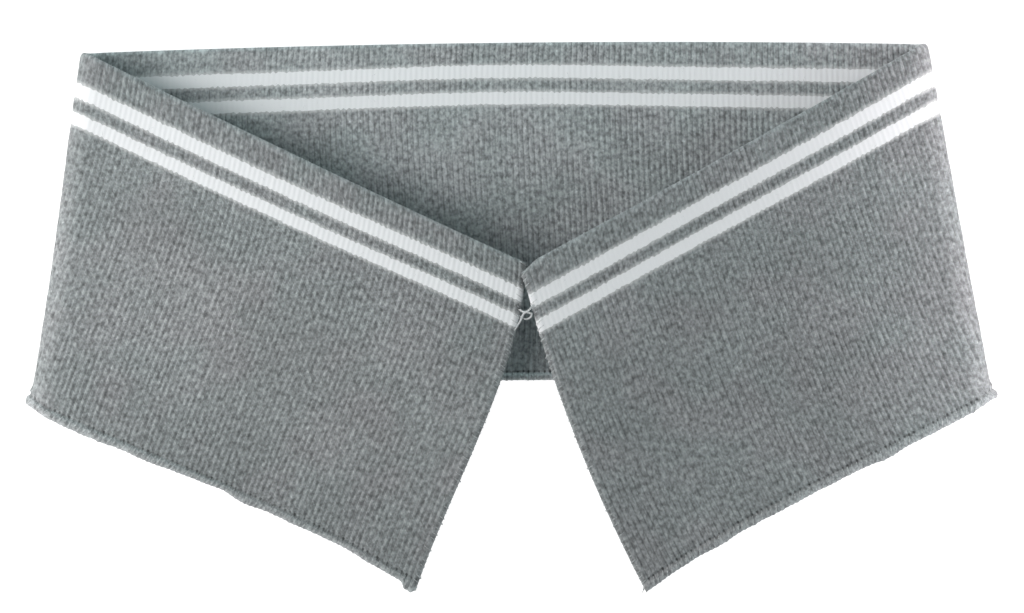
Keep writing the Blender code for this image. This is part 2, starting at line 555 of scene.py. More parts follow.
class Shading:
    """A material's nodes, written through short calls."""

    def __init__(self, name: str) -> None:
        """Start a material that has only its shader.

        Args:
            name: the material's name.
        """
        self.material = bpy.data.materials.new(name)
        self.material.use_nodes = True
        self.tree = self.material.node_tree
        self.shader = self.tree.nodes["Principled BSDF"]

    def feed(self, socket: bpy.types.NodeSocket, value: object) -> None:
        """Link an output to a socket, or set the socket to a constant.

        Args:
            socket: the input to feed.
            value: an output of another node, or the constant.
        """
        if isinstance(value, bpy.types.NodeSocket):
            self.tree.links.new(value, socket)
        else:
            socket.default_value = value

    def node(self, kind: str, inputs: dict, **settings: object) -> bpy.types.Node:
        """A node of a kind, with its settings made and its inputs fed.

        Args:
            kind: the node's type.
            inputs: what each input takes, by its name or number.
            settings: the node's own settings.

        Returns:
            The new node.
        """
        made = self.tree.nodes.new(kind)
        for name, value in settings.items():
            setattr(made, name, value)
        for key, value in inputs.items():
            self.feed(made.inputs[key], value)
        return made

    def maths(self, operation: str, *values: object) -> bpy.types.NodeSocket:
        """The result of one operation on numbers."""
        return self.node("ShaderNodeMath", dict(enumerate(values)), operation=operation).outputs[0]

    def plus(self, first: object, second: object) -> bpy.types.NodeSocket:
        """The sum of two numbers."""
        return self.maths("ADD", first, second)

    def minus(self, first: object, second: object) -> bpy.types.NodeSocket:
        """The first number less the second."""
        return self.maths("SUBTRACT", first, second)

    def times(self, first: object, second: object) -> bpy.types.NodeSocket:
        """The product of two numbers."""
        return self.maths("MULTIPLY", first, second)

    def over(self, first: object, second: object) -> bpy.types.NodeSocket:
        """The first number as a share of the second."""
        return self.maths("DIVIDE", first, second)

    def size(self, value: object) -> bpy.types.NodeSocket:
        """A number without its sign."""
        return self.maths("ABSOLUTE", value)

    def within(self, value: object) -> bpy.types.NodeSocket:
        """What a number holds past its whole part."""
        return self.maths("FRACT", value)

    def ramp(
        self, value: object, low: float, high: float, first: float = 0.0, last: float = 1.0
    ) -> bpy.types.NodeSocket:
        """A smooth ramp from first at low to last at high."""
        inputs = {"Value": value, "From Min": low, "From Max": high, "To Min": first, "To Max": last}
        return self.node("ShaderNodeMapRange", inputs, interpolation_type="SMOOTHSTEP").outputs[0]

    def spread(
        self, noise: object, reach: float, first: float = 0.0, last: float = 1.0
    ) -> bpy.types.NodeSocket:
        """Noise around a half, drawn out to run from first to last within a reach to either side."""
        return self.ramp(noise, 0.5 - reach, 0.5 + reach, first, last)

    def place(self) -> bpy.types.NodeSocket:
        """The point that is shaded, in metres on the object."""
        return self.node("ShaderNodeTexCoord", {}).outputs["Object"]

    def point(self, x: object, y: object, z: object = 0.0) -> bpy.types.NodeSocket:
        """A vector of three numbers."""
        return self.node("ShaderNodeCombineXYZ", {0: x, 1: y, 2: z}).outputs[0]

    def noise(self, where: object, scale: float, detail: float, rough: float = 0.5) -> bpy.types.NodeSocket:
        """Soft noise around a half."""
        inputs = {"Vector": where, "Scale": scale, "Detail": detail, "Roughness": rough}
        return self.node("ShaderNodeTexNoise", inputs).outputs[0]

    def colour(self, share: object, first: object, last: object, way: str = "MIX") -> bpy.types.NodeSocket:
        """Two colours blended by a share.

        Args:
            share: how much of the last colour shows.
            first: the colour at 0.
            last: the colour at 1.
            way: how the last colour is laid over the first.

        Returns:
            The blended colour.
        """
        inputs = {0: share, 6: first, 7: last}
        made = self.node("ShaderNodeMix", inputs, data_type="RGBA", blend_type=way)
        return made.outputs[2]

    def grey(self, value: object) -> bpy.types.NodeSocket:
        """A number as a neutral colour."""
        return self.node("ShaderNodeCombineColor", {0: value, 1: value, 2: value}).outputs[0]

    def chart(self) -> tuple[bpy.types.NodeSocket, bpy.types.NodeSocket]:
        """The two coordinates of the knit map.

        Returns:
            The rib and the course.
        """
        place = self.node("ShaderNodeUVMap", {}, uv_map=KNIT_MAP).outputs[0]
        parts = self.node("ShaderNodeSeparateXYZ", {0: place}).outputs
        return parts[0], parts[1]


def with_alpha(colour: Colour) -> tuple[float, float, float, float]:
    """A colour as a socket takes it."""
    return (*colour, 1.0)


@dataclass(frozen=True)
class KnitFinish:
    """Rib knit in one yarn: flecks along the ribs, painted shade in the furrows, and stitches as fine
    relief.
    """

    name: str
    slot: str
    dark: Colour
    light: Colour
    border: Colour
    coarse_grain: Grain = (1.15, 0.47)
    fine_grain: Grain = (2.6, 0.9)
    fine_share: float = 0.38
    fleck_reach: float = 0.30
    stitch_spread: float = 0.07
    # Painted shade: the share of colour left at the bottom of a furrow between the ribs, on each face, and
    # how wide that shade is.
    inner_furrow_shade: float = 0.78
    outer_furrow_shade: float = 0.84
    furrow_shade_width: float = 0.20
    # Painted light: the inner face, which faces up on the back panel, is made lighter than the outer one,
    # though both are knit alike.
    inner_painted_light: float = 1.32
    # How the painted furrow shade deepens and fades over the collar, where the ribs stand more or less open.
    open_size: float = 13.0 * MM
    open_reach: float = 0.12
    open_least: float = 0.3
    open_most: float = 1.5
    border_share: float = 0.55
    border_width: float = 1.5
    border_grain: Grain = (2.0, 1.0)
    raggedness: float = 0.8
    speck: float = 0.35
    speck_grain: Grain = (1.7, 0.75)
    speck_low: float = 0.66
    speck_high: float = 0.76
    mottle: float = 0.07
    mottle_size: float = 18.0 * MM
    mottle_reach: float = 0.20
    cool: Colour = (0.982, 1.004, 1.0)
    warm: Colour = (1.018, 0.996, 1.003)
    hue_size: float = 15.0 * MM
    hue_reach: float = 0.15
    leg_slant: float = 1.5
    leg_roundness: float = 0.7
    parting_width: float = 0.10
    parting_height: float = 0.55
    stitch_relief: float = 0.06 * MM
    fibre_grain: Grain = (9.0, 3.2)
    fibre_relief: float = 0.03 * MM
    roughness: float = 0.92
    sheen: float = 0.18
    sheen_roughness: float = 0.6
    gloss: float = 0.25
    # The row of holes, whose dark is painted shade, and the shape of that shade.
    hole_row: tuple[float, float] | None = None
    hole_width: float = 0.3
    hole_shade: float = 0.35
    hole_core: float = 0.1
    hole_rim: float = 1.3
    hole_grain: float = 0.7
    hole_least: float = 0.4
    hole_most: float = 0.62
    hole_unevenness: float = 0.9
    bead_light: float = 1.3
    bead_rise: float = 0.6

    def material(self) -> bpy.types.Material:
        """The finish as a material, made once."""
        return bpy.data.materials.get(self.name) or self.made()

    def made(self) -> bpy.types.Material:
        """Write the finish's nodes.

        Returns:
            The new material.
        """
        ink = Shading(self.name)
        rib, course = ink.chart()
        aside = ink.size(ink.minus(ink.within(rib), 0.5))
        # Painted shade in the furrows between the ribs, deeper on the inner face and varied by noise over
        # the collar.
        furrow = ink.ramp(aside, 0.5 - self.furrow_shade_width, 0.5)
        flecks = self.flecks(ink, rib, course)
        base = ink.colour(flecks, with_alpha(self.dark), with_alpha(self.light))
        furrow_shade_depth = self.by_face(ink, rib, 1 - self.inner_furrow_shade, 1 - self.outer_furrow_shade)
        open_noise = ink.noise(ink.place(), 1 / self.open_size, 1.0)
        furrow_shade_depth = ink.times(furrow_shade_depth, ink.spread(open_noise, self.open_reach, self.open_least, self.open_most))
        shade = ink.minus(1.0, ink.times(furrow, furrow_shade_depth))
        # Painted light on the inner face.
        shade = ink.times(shade, self.by_face(ink, rib, self.inner_painted_light, 1.0))
        shade = ink.times(shade, self.specks(ink, rib, course))
        if self.hole_row is not None:
            shade = self.pierced(ink, rib, course, shade)
        base = ink.colour(1.0, base, ink.grey(shade), "MULTIPLY")
        base = ink.colour(1.0, base, self.mottling(ink), "MULTIPLY")
        base = ink.colour(self.mixed(ink, rib, course), base, with_alpha(self.border))
        ink.feed(ink.shader.inputs["Base Color"], base)
        ink.shader.inputs["Roughness"].default_value = self.roughness
        ink.shader.inputs["Sheen Weight"].default_value = self.sheen
        ink.shader.inputs["Sheen Roughness"].default_value = self.sheen_roughness
        ink.shader.inputs["Specular IOR Level"].default_value = self.gloss
        ink.feed(ink.shader.inputs["Normal"], self.stitches(ink, rib, course, aside))
        return ink.material

    def by_face(self, ink: Shading, rib: object, inner: float, outer: float) -> bpy.types.NodeSocket:
        """One value on the inner face and another on the outer, whose ribs are charted past RIBS."""
        return ink.ramp(rib, RIBS + 0.1, RIBS + 0.4, inner, outer)

    def grain(
        self, ink: Shading, rib: object, course: object, fineness: Grain, layer: float = 0.0
    ) -> bpy.types.NodeSocket:
        """Noise as fine as it says across the ribs and down the courses."""
        place = ink.point(ink.times(rib, fineness[0]), ink.times(course, fineness[1]), layer)
        return ink.noise(place, 1.0, 1.0)

    def flecks(self, ink: Shading, rib: object, course: object) -> bpy.types.NodeSocket:
        """The mixed fibres: streaks along the ribs, finer fibres and one tone for each leg of a stitch.

        Args:
            ink: the material that is being written.
            rib: the knit map's rib coordinate.
            course: the knit map's course coordinate.

        Returns:
            A share from the dark fibres to the light ones.
        """
        coarse = self.grain(ink, rib, course, self.coarse_grain)
        fine = self.grain(ink, rib, course, self.fine_grain, layer=7.0)
        leg = ink.point(ink.maths("FLOOR", ink.times(rib, 2.0)), ink.maths("FLOOR", course))
        tone = ink.node("ShaderNodeTexWhiteNoise", {0: leg}, noise_dimensions="2D").outputs[0]
        tone = ink.times(ink.minus(tone, 0.5), self.stitch_spread)
        streaks = ink.plus(ink.times(coarse, 1 - self.fine_share), ink.times(fine, self.fine_share))
        return ink.spread(ink.plus(streaks, tone), self.fleck_reach)

    def mixed(self, ink: Shading, rib: object, course: object) -> bpy.types.NodeSocket:
        """How much of the other yarn shows, next to the borders of the stripes.

        Args:
            ink: the material that is being written.
            rib: the knit map's rib coordinate.
            course: the knit map's course coordinate.

        Returns:
            A share.
        """
        near = float(STRIP.height / COURSE)
        for down in SEAM_DOWNS[1:5]:
            off = ink.size(ink.minus(course, float(down / COURSE)))
            near = ink.maths("MINIMUM", near, off)
        ragged = self.grain(ink, rib, course, self.border_grain, layer=5.0)
        near = ink.plus(near, ink.times(ink.minus(ragged, 0.5), self.raggedness))
        return ink.ramp(near, 0.0, self.border_width, self.border_share, 0.0)

    def specks(self, ink: Shading, rib: object, course: object) -> bpy.types.NodeSocket:
        """The few light fibres that stand out from the rest."""
        fibres = self.grain(ink, rib, course, self.speck_grain, layer=3.0)
        return ink.ramp(fibres, self.speck_low, self.speck_high, 1.0, 1 + self.speck)

    def pierced(self, ink: Shading, rib: object, course: object, shade: object) -> bpy.types.NodeSocket:
        """Paint shade into the small holes between the ribs, and lighten the bead of the cast-off below
        them.

        Args:
            ink: the material that is being written.
            rib: the knit map's rib coordinate.
            course: the knit map's course coordinate.
            shade: the factor on the colour so far.

        Returns:
            The new factor.
        """
        first, last = self.hole_row
        off_row = ink.over(ink.minus(course, (first + last) / 2), (last - first) / 2)
        off_rib = ink.over(ink.minus(ink.within(ink.plus(rib, 0.5)), 0.5), self.hole_width)
        square = ink.plus(ink.maths("POWER", off_row, 2.0), ink.maths("POWER", off_rib, 2.0))
        uneven = ink.noise(ink.point(ink.times(rib, self.hole_grain), 9.0), 1.0, 1.0)
        filled = ink.ramp(uneven, self.hole_least, self.hole_most, 0.0, self.hole_unevenness)
        square = ink.plus(square, filled)
        bead = ink.ramp(course, last, last + self.bead_rise, 1.0, self.bead_light)
        # Painted shade in the holes.
        holes = ink.ramp(square, self.hole_core, self.hole_rim, self.hole_shade, 1.0)
        return ink.times(ink.times(shade, bead), holes)

    def mottling(self, ink: Shading) -> bpy.types.NodeSocket:
        """Slow changes of tone and warmth over the whole collar.

        Args:
            ink: the material that is being written.

        Returns:
            A colour to multiply by.
        """
        slow = ink.noise(ink.place(), 1 / self.mottle_size, 2.0)
        tone = ink.spread(slow, self.mottle_reach, 1 - self.mottle, 1 + self.mottle)
        hue = ink.spread(ink.noise(ink.place(), 1 / self.hue_size, 1.0), self.hue_reach)
        tint = ink.colour(hue, with_alpha(self.cool), with_alpha(self.warm))
        return ink.colour(1.0, tint, ink.grey(tone), "MULTIPLY")

    def stitches(self, ink: Shading, rib: object, course: object, aside: object) -> bpy.types.NodeSocket:
        """The V of each stitch and the fibres, as a bumped normal.

        Args:
            ink: the material that is being written.
            rib: the knit map's rib coordinate.
            course: the knit map's course coordinate.
            aside: how far a point lies from the middle of its rib, in ribs.

        Returns:
            The normal.
        """
        slant = ink.plus(course, ink.times(aside, self.leg_slant))
        legs = ink.size(ink.maths("SINE", ink.times(slant, math.pi)))
        parting = ink.ramp(aside, 0.0, self.parting_width, self.parting_height, 1.0)
        legs = ink.times(ink.maths("POWER", legs, self.leg_roundness), parting)
        stitch = ink.node("ShaderNodeBump", {"Height": legs, "Distance": self.stitch_relief})
        across, along = self.fibre_grain
        hairs = ink.noise(ink.point(ink.times(rib, across), ink.times(slant, along)), 1.0, 2.0)
        inputs = {"Height": hairs, "Distance": self.fibre_relief, "Normal": stitch.outputs[0]}
        return ink.node("ShaderNodeBump", inputs).outputs[0]


@dataclass(frozen=True)
class YarnFinish:
    """Loose or looped yarn, with the lay of its twist."""

    name: str
    slot: str
    dark: Colour
    light: Colour
    twist: float = 2.0
    plies: float = 2.0
    relief: float = 0.04 * MM
    fibre_size: float = 0.45 * MM
    fibre_reach: float = 0.1875
    roughness: float = 0.9
    sheen: float = 0.2

    def material(self) -> bpy.types.Material:
        """The finish as a material, made once."""
        return bpy.data.materials.get(self.name) or self.made()

    def made(self) -> bpy.types.Material:
        """Write the finish's nodes.

        Returns:
            The new material.
        """
        ink = Shading(self.name)
        along, around = ink.chart()
        lay = ink.plus(ink.times(along, self.twist), ink.times(around, self.plies))
        strands = ink.size(ink.maths("SINE", ink.times(lay, math.pi)))
        fibres = ink.noise(ink.place(), 1 / self.fibre_size, 2.0, 0.6)
        tone = ink.spread(fibres, self.fibre_reach)
        base = ink.colour(tone, with_alpha(self.dark), with_alpha(self.light))
        ink.feed(ink.shader.inputs["Base Color"], base)
        ink.shader.inputs["Roughness"].default_value = self.roughness
        ink.shader.inputs["Sheen Weight"].default_value = self.sheen
        bump = ink.node("ShaderNodeBump", {"Height": strands, "Distance": self.relief})
        ink.feed(ink.shader.inputs["Normal"], bump.outputs[0])
        return ink.material


GREY_KNIT = KnitFinish(
    "grey_melange_knit",
    "grey_knit",
    dark=(0.106, 0.114, 0.117),
    light=(0.400, 0.431, 0.441),
    border=(0.70, 0.72, 0.73),
)
WHITE_KNIT = KnitFinish(
    "white_knit",
    "white_knit",
    dark=(0.56, 0.57, 0.58),
    light=(0.635, 0.645, 0.655),
    border=(0.28, 0.30, 0.305),
    # Weaker painted shade in the white knit's furrows.
    inner_furrow_shade=0.92,
    outer_furrow_shade=1.0,
    # Less painted light on the white knit's inner face.
    inner_painted_light=1.22,
    speck=0.0,
    mottle=0.02,
)
GREY_YARN = YarnFinish("grey_melange_yarn", "grey_knit", (0.25, 0.27, 0.275), (0.47, 0.505, 0.515))
WHITE_YARN = YarnFinish("white_yarn", "white_knit", (0.52, 0.54, 0.55), (0.68, 0.70, 0.71))


@dataclass(frozen=True)
class Seam:
    """Where one band gives way to the next: a small zigzag, as the stitches interlock."""

    down: float
    seed: int = 0
    zigzag: float = 0.11 * MM
    spread: float = 0.10 * MM
    most: float = 1.6

    def at(self, face: Face, rib: Array) -> Array:
        """The metres from the top edge at which the seam runs.

        Args:
            face: the face of the cloth.
            rib: rib numbers.

        Returns:
            Metres, one for each rib number.
        """
        if self.seed == 0:
            return np.full_like(rib, self.down)
        knots = np.random.default_rng(self.seed).normal(size=2 * RIBS + 4)
        uneven = np.interp(2 * rib, np.arange(2 * RIBS + 4), np.clip(knots, -self.most, self.most))
        wave = np.cos(2 * math.pi * (rib + face.phase))
        return self.down + self.zigzag * wave + self.spread * uneven


@dataclass
class Band:
    """One knitted band of the strip, as a closed shell with ribs on both faces."""

    name: str
    finish: KnitFinish
    top: Seam
    bottom: Seam
    row_height: float = 0.6 * MM
    ribbing: float = 1.0

    def shares(self) -> Array:
        """The rows of the mesh, as shares of the way down the band."""
        rows = max(2, round((self.bottom.down - self.top.down) / self.row_height))
        return np.linspace(0, 1, rows + 1)

    def fullness(self, rib: Array, down: Array) -> Array:
        """How thick the band is, as a share of the knit's own relief."""
        return np.ones_like(down)

    def lift(self, down: Array) -> Array:
        """How far the band is raised off the surface under it."""
        return np.zeros_like(down)

    def rib_strength(self, down: Array) -> Array | float:
        """How strongly the ribs show, as a share."""
        return self.ribbing

    def skin(self, face: Face, rib: Array, down: Array, proud: float = 0.0) -> Array:
        """Points on a face of the band.

        Args:
            face: the face of the cloth.
            rib: rib numbers.
            down: metres from the top edge.
            proud: metres that the points stand over the face.

        Returns:
            One point for each pair of rib and down.
        """
        share = down / STRIP.height
        middle, normal = STRIP.surface(rib, share)
        stand = RELIEF.stand(face, rib, share, self.rib_strength(down))
        stand = stand * RELIEF.rounding(rib) * self.fullness(rib, down)
        place = middle + normal * (face.sign * (stand + proud))[..., None]
        place[..., 2] += self.lift(down)
        return place

    def build(self) -> bpy.types.Object:
        """The band's mesh, dressed, in place of its solid.

        Returns:
            The new object, in the scene.
        """
        rib = np.linspace(0, RIBS, RIBS * COLUMNS_PER_RIB + 1)
        shares = self.shares()
        open_top, open_bottom = self.top.seed > 0, self.bottom.seed > 0
        rows, columns = len(shares), len(rib)
        number = np.arange(rows * columns).reshape(rows, columns)
        other = number + rows * columns
        other[:, [0, -1]] = number[:, [0, -1]]
        if not open_top:
            other[0] = number[0]
        if not open_bottom:
            other[-1] = number[-1]
        points, faces, charts = [], [], []
        for face, grid in ((Face.INNER, number), (Face.OUTER, other)):
            down = self.top.down + (self.bottom.down - self.top.down) * shares[:, None] + 0 * rib
            down[0], down[-1] = self.top.at(face, rib), self.bottom.at(face, rib)
            points.append(self.skin(face, rib + 0 * down, down).reshape(-1, 3))
            chart = np.stack([rib + face.phase * (2 * RIBS + 1) + 0 * down, down / COURSE], -1)
            quads, corners = quads_of(grid, chart, face is Face.OUTER)
            faces.append(quads)
            charts.append(corners)
        for row, is_open in ((0, open_top), (rows - 1, open_bottom)):
            if is_open:
                rim, ends = rim_of(number[row], other[row], row > 0)
                faces += [rim, ends]
                charts += [np.tile(RIM_CHART, (len(group), group.shape[1], 1)) for group in (rim, ends)]
        order = sorted({group.shape[1] for group in faces}, reverse=True)
        charts = [np.concatenate([c for f, c in zip(faces, charts) if f.shape[1] == n]) for n in order]
        faces = [np.concatenate([f for f in faces if f.shape[1] == n]) for n in order]
        used, faces = renumbered(faces)
        made = mesh_object(self.name, np.concatenate(points)[used], faces, charts, self.finish.material())
        sharpen(made.data, np.isin(used, np.concatenate([number[0], other[0], number[-1], other[-1]])))
        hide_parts(self.name.removesuffix("_knit"))
        return made


def quads_of(grid: Array, chart: Array, turned: bool) -> tuple[Array, Array]:
    """The quads of a grid of vertices.

    Args:
        grid: vertex numbers, rows running down the collar.
        chart: the knit map's coordinates at those vertices.
        turned: whether the quads face against the cloth's normal.

    Returns:
        The quads, and the map's coordinates at their corners.
    """
    corner = (slice(None, -1), slice(None, -1)), (slice(1, None), slice(None, -1))
    corner += (slice(1, None), slice(1, None)), (slice(None, -1), slice(1, None))
    if turned:
        corner = corner[::-1]
    quads = np.stack([grid[where].ravel() for where in corner], -1)
    return quads, np.stack([chart[where].reshape(-1, 2) for where in corner], 1)


def rim_of(inner: Array, outer: Array, turned: bool) -> tuple[Array, Array]:
    """The faces that close a seam between the cloth's two faces.

    Args:
        inner: vertex numbers along the seam on the inner face.
        outer: the same on the outer face. Both share their first and last vertex.
        turned: whether the rim looks down the collar.

    Returns:
        The quads, and the triangles at both ends.
    """
    quads = np.stack([inner[1:-2], inner[2:-1], outer[2:-1], outer[1:-2]], -1)
    ends = np.array([[inner[0], inner[1], outer[1]], [inner[-2], inner[-1], outer[-2]]])
    return (quads[:, ::-1], ends[:, ::-1]) if turned else (quads, ends)


def renumbered(faces: list[Array]) -> tuple[Array, list[Array]]:
    """The vertices in use, and the faces numbered by them.

    Args:
        faces: arrays of vertex numbers, one array for each number of corners.

    Returns:
        The old numbers of the vertices in use, and the faces in their new numbers.
    """
    used, flat = np.unique(np.concatenate([group.ravel() for group in faces]), return_inverse=True)
    groups, start = [], 0
    for group in faces:
        groups.append(flat[start : start + group.size].reshape(group.shape))
        start += group.size
    return used, groups


def sharpen(mesh: bpy.types.Mesh, on_border: Array) -> None:
    """Keep the shading of the cloth's faces apart from that of the rims between them.

    Args:
        mesh: the band's mesh.
        on_border: whether each vertex lies on a border of a face.
    """
    ends = np.zeros(len(mesh.edges) * 2, np.int32)
    mesh.edges.foreach_get("vertices", ends)
    sharp = on_border[ends].reshape(-1, 2).all(1)
    mesh.attributes.new("sharp_edge", "BOOLEAN", "EDGE").data.foreach_set("value", sharp)


@dataclass
class TopBand(Band):
    """The first band, whose starting edge is a round, slightly tight welt."""

    welt: float = 1.1 * MM
    welt_rows: tuple[float, ...] = (0.0, 0.06, 0.18, 0.40, 0.72)

    def shares(self) -> Array:
        """The rows of the mesh, close together round the starting edge.

        Returns:
            Shares of the way down the band.
        """
        start = np.array(self.welt_rows) * self.welt / self.bottom.down
        rest = round((self.bottom.down - self.welt) / self.row_height)
        return np.concatenate([start, np.linspace(self.welt / self.bottom.down, 1, rest + 1)])

    def fullness(self, rib: Array, down: Array) -> Array:
        """A round edge, a little thinner than the knit below it."""
        near = np.clip(1 - down / self.welt, 0, 1)
        return np.sqrt(1 - near**2)


@dataclass
class CastOffEdge(Band):
    """The last band: a furrow pierced with small holes, then a lumpy bead of cast-off loops."""

    bead_lift: float = 0.3 * MM
    bead_start: float = 0.5
    bead_ribbing: float = 0.25
    ribs_end: float = 0.4
    fold_thinning: float = 0.45
    fold_ribs: float = 5.0
    lump: float = 0.07 * MM
    lump_spread: float = 0.06 * MM
    lump_unevenness: Unevenness = Unevenness(23)
    wave: float = 0.20 * MM
    wave_unevenness: Unevenness = Unevenness(29, ribs_apart=5.0, knots_down=2)
    tab_ribs: float = 3.0
    tab_slope: float = 0.8
    tab_drop: float = 1.1 * MM
    rows: tuple[float, ...] = (0, 0.08, 0.16, 0.24, 0.33, 0.43, 0.54, 0.65, 0.76, 0.86, 0.93, 0.98, 1)
    profile: tuple[float, ...] = (1, 0.84, 0.68, 0.70, 0.86, 1.06, 1.22, 1.28, 1.22, 1.02, 0.74, 0.4, 0)

    def shares(self) -> Array:
        """The rows of the mesh."""
        return np.array(self.rows)

    def span(self) -> float:
        """The band's height."""
        return self.bottom.down - self.top.down

    def fullness(self, rib: Array, down: Array) -> Array:
        """The furrow and the bead, down to nothing at the edge.

        Args:
            rib: rib numbers.
            down: metres from the top edge.

        Returns:
            Shares of the knit's own relief.
        """
        share = (down - self.top.down) / self.span()
        thinning = 0
        for side in (LEFT, RIGHT):
            near = 1 - np.abs(rib - STRIP.fold_rib(side)) / self.fold_ribs
            thinning = thinning + self.fold_thinning * smooth(near) * smooth(3 * share)
        return np.interp(share, self.rows, self.profile) * (1 - thinning)

    def rib_strength(self, down: Array) -> Array:
        """The ribs fade out in the bead."""
        return 1 - (1 - self.bead_ribbing) * smooth((down - self.top.down) / (self.ribs_end * self.span()))

    def lift(self, down: Array) -> Array:
        """The bead is thicker than the knit, so its middle lies higher."""
        return self.bead_lift * smooth((down - self.top.down) / (self.bead_start * self.span()))

    def skin(self, face: Face, rib: Array, down: Array, proud: float = 0.0) -> Array:
        """Points on a face of the band, drawn out into lumps towards the edge.

        Args:
            face: the face of the cloth.
            rib: rib numbers.
            down: metres from the top edge.
            proud: metres that the points stand over the face.

        Returns:
            One point for each pair of rib and down.
        """
        low = smooth((down - self.top.down) / self.span())
        lumps = self.lump * np.cos(2 * math.pi * rib)
        lumps = lumps + self.lump_spread * self.lump_unevenness.at(rib, down)
        lumps = lumps + self.wave * self.wave_unevenness.at(rib, 0 * down)
        tab = self.tab_drop * smooth(rib / self.tab_slope) * smooth((self.tab_ribs - rib) / self.tab_slope)
        flat = super().skin(face, rib, down, proud)
        return flat + STRIP.downwards(rib, down / STRIP.height) * (low * (lumps + tab))[..., None]


def tubes(paths: Array, ups: Array, radii: Array, sides: int) -> tuple[Array, list[Array], list[Array]]:
    """Closed tubes along paths of as many points each.

    Args:
        paths: points, as (tube, point, xyz).
        ups: a direction roughly across each tube, of the same shape.
        radii: the radius at each point, as (tube, point).
        sides: the number of sides.

    Returns:
        The points, the faces and the map's coordinates at their corners.
    """
    count, steps = paths.shape[:2]
    ahead = unit(np.gradient(paths, axis=1))
    beside = unit(np.cross(ahead, ups))
    above = np.cross(beside, ahead)
    angle = np.arange(sides) * 2 * math.pi / sides
    ring = beside[:, :, None] * np.cos(angle)[:, None] + above[:, :, None] * np.sin(angle)[:, None]
    points = paths[:, :, None] + ring * radii[:, :, None, None]
    number = np.arange(count * steps * sides).reshape(count, steps, sides)
    follow = np.roll(number, -1, axis=2)
    walls = np.stack([number[:, :-1], number[:, 1:], follow[:, 1:], follow[:, :-1]], -1).reshape(-1, 4)
    caps = np.concatenate([number[:, 0], number[:, -1, ::-1]])
    run = np.cumsum(np.linalg.norm(np.diff(paths, axis=1, prepend=paths[:, :1]), axis=-1), axis=1) / MM
    along = np.broadcast_to(run[:, :, None], number.shape)
    around = np.broadcast_to(np.arange(sides) / sides, number.shape)
    here, there = slice(None, -1), slice(1, None)
    chart = [
        np.stack([along[:, here], around[:, here]], -1),
        np.stack([along[:, there], around[:, there]], -1),
        np.stack([along[:, there], around[:, there] + 1 / sides], -1),
        np.stack([along[:, here], around[:, here] + 1 / sides], -1),
    ]
    wall_chart = np.stack([part.reshape(-1, 2) for part in chart], 1)
    cap_chart = np.zeros((len(caps), sides, 2))
    return points.reshape(-1, 3), [walls, caps], [wall_chart, cap_chart]


def tube_object(
    name: str, paths: Array, ups: Array, radii: Array, sides: int, finish: YarnFinish
) -> bpy.types.Object:
    """An object of closed tubes.

    Args:
        name: the piece's name.
        paths: points, as (tube, point, xyz).
        ups: a direction roughly across each tube, of the same shape.
        radii: the radius at each point, as (tube, point).
        sides: the number of sides.
        finish: the yarn's finish.

    Returns:
        The new object, in the scene.
    """
    points, faces, charts = tubes(paths, ups, radii, sides)
    made = mesh_object(name, points, faces, charts, finish.material())
    return made


@dataclass
class CastOffLoops:
    """The loops of the cast-off, one for each rib and face, slanting over the bead."""

    edge: CastOffEdge
    yarn_radius: float = 0.24 * MM
    radius_spread: float = 0.08
    end_radius: float = 0.62
    start: float = -0.30
    start_spread: float = 0.06
    slant: float = 0.62
    slant_spread: float = 0.05
    root: float = 0.26
    reach: float = 0.90
    reach_spread: float = 0.04
    sunk: float = 0.25
    sunk_ends: float = 0.6
    steps: int = 7
    sides: int = 5
    seed: int = 31

    def build(self) -> bpy.types.Object:
        """All loops as one mesh.

        Returns:
            The new object, in the scene.
        """
        random = np.random.default_rng(self.seed)
        share = np.linspace(0, 1, self.steps)
        paths, ups = [], []
        for face in Face:
            first = np.arange(1, RIBS - 1) + 0.5 - face.phase
            each = (len(first), 1)
            start = first[:, None] + random.normal(0, self.start_spread, each)
            rib = start + self.start + self.slant * share + random.normal(0, self.slant_spread, each) * share
            reach = self.reach + random.normal(0, self.reach_spread, each)
            down = self.edge.top.down + self.edge.span() * (self.root + (reach - self.root) * share)
            over = self.yarn_radius * (-self.sunk - self.sunk_ends * (2 * share - 1) ** 4)
            skin = self.edge.skin(face, rib, down, over + 0 * rib)
            paths.append(skin)
            ups.append(STRIP.surface(rib, down / STRIP.height)[1])
        paths, ups = np.concatenate(paths), np.concatenate(ups)
        swell = self.yarn_radius * (self.end_radius + (1 - self.end_radius) * np.sin(math.pi * share))
        radii = swell * (1 + random.normal(0, self.radius_spread, (len(paths), 1)))
        return tube_object("cast_off_loops", paths, ups, radii, self.sides, GREY_YARN)


